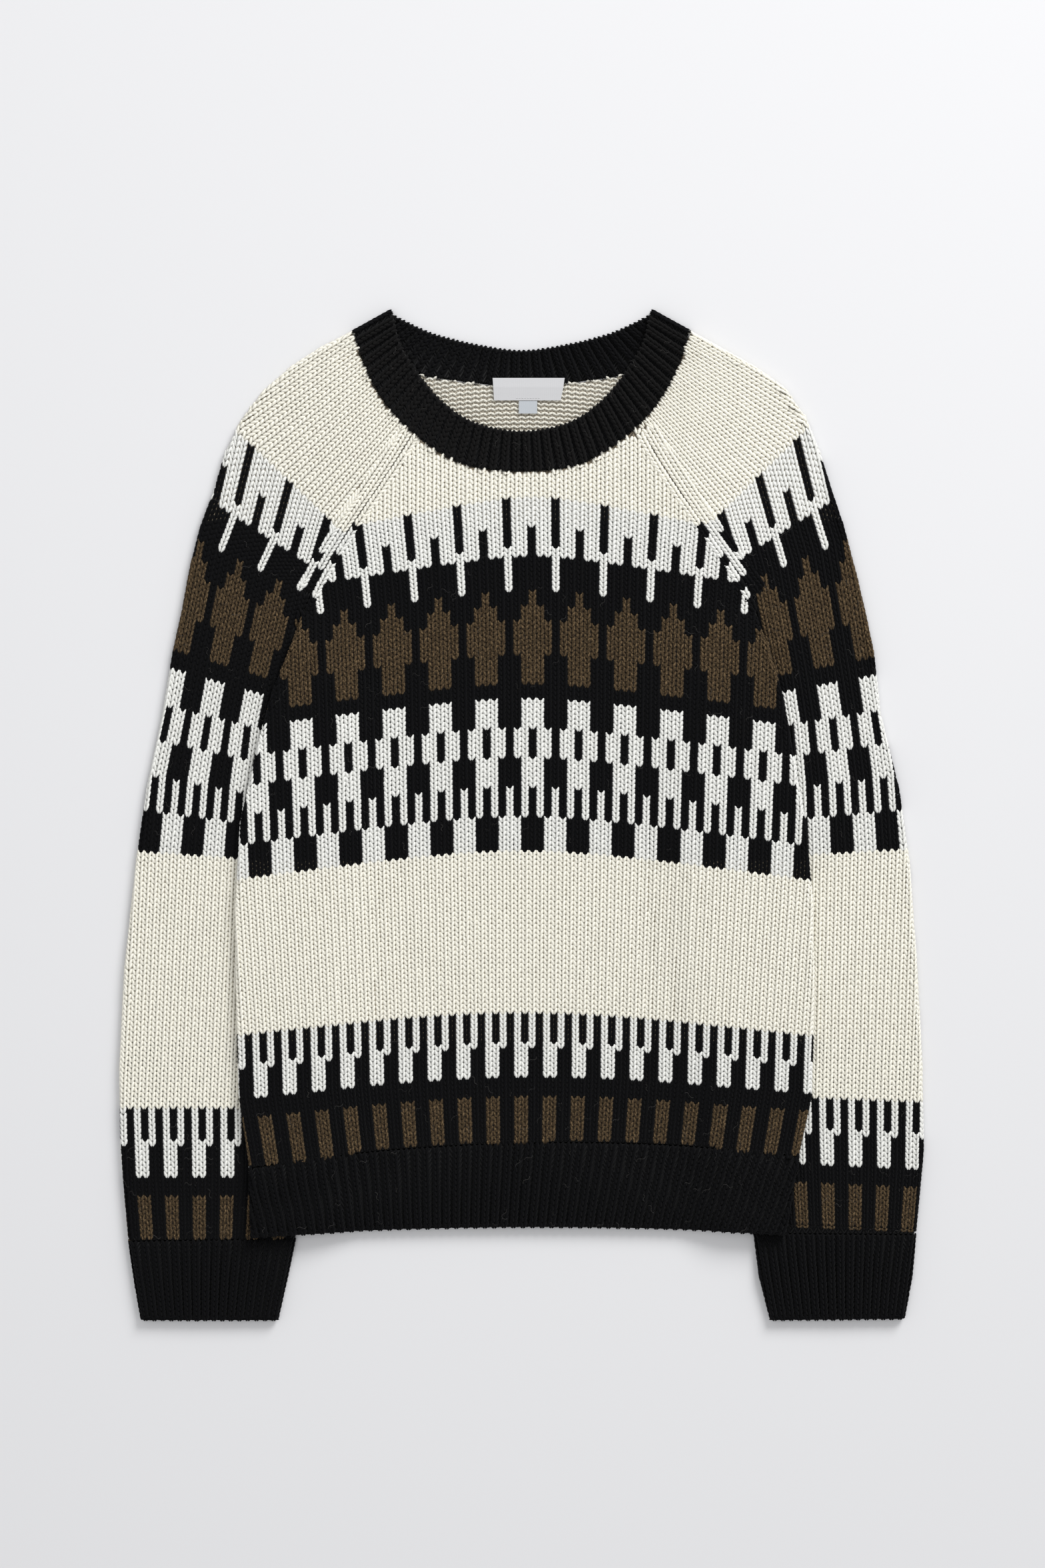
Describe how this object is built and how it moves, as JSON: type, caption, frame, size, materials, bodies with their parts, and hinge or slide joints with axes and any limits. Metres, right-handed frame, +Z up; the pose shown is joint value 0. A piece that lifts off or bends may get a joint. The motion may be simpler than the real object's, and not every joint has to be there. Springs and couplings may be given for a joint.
{
  "type": "fair isle jumper",
  "caption": "Long-sleeved crew-neck knitted jumper with raglan sleeves, banded stranded patterns and black ribbed edges, laid flat on its back.",
  "frame": {"origin": "centre of the jumper's outline, on the surface it lies on", "axes": "+X to the viewer's right across the jumper, +Y from the cuffs and hem towards the neck, +Z up from the surface it lies on"},
  "size_m": [0.614, 0.7696, 0.0146],
  "materials": {
    "patterned_knit": "matt wool in stocking stitch, black, white, cream and brown",
    "black_rib": "matt wool in one-by-one rib, black",
    "label_tape": "woven tape, blank, slightly satin",
    "tab_tape": "woven tape, blank, slightly satin"
  },
  "bodies": {
    "root": {"front_panel": "patterned_knit", "back_panel": "patterned_knit", "sleeve_left": "patterned_knit", "sleeve_right": "patterned_knit", "hem_front": "black_rib", "hem_back": "black_rib", "cuff_left": "black_rib", "cuff_right": "black_rib", "neckband": "black_rib", "label": "label_tape", "size_tab": "tab_tape"}
  },
  "joints": []
}
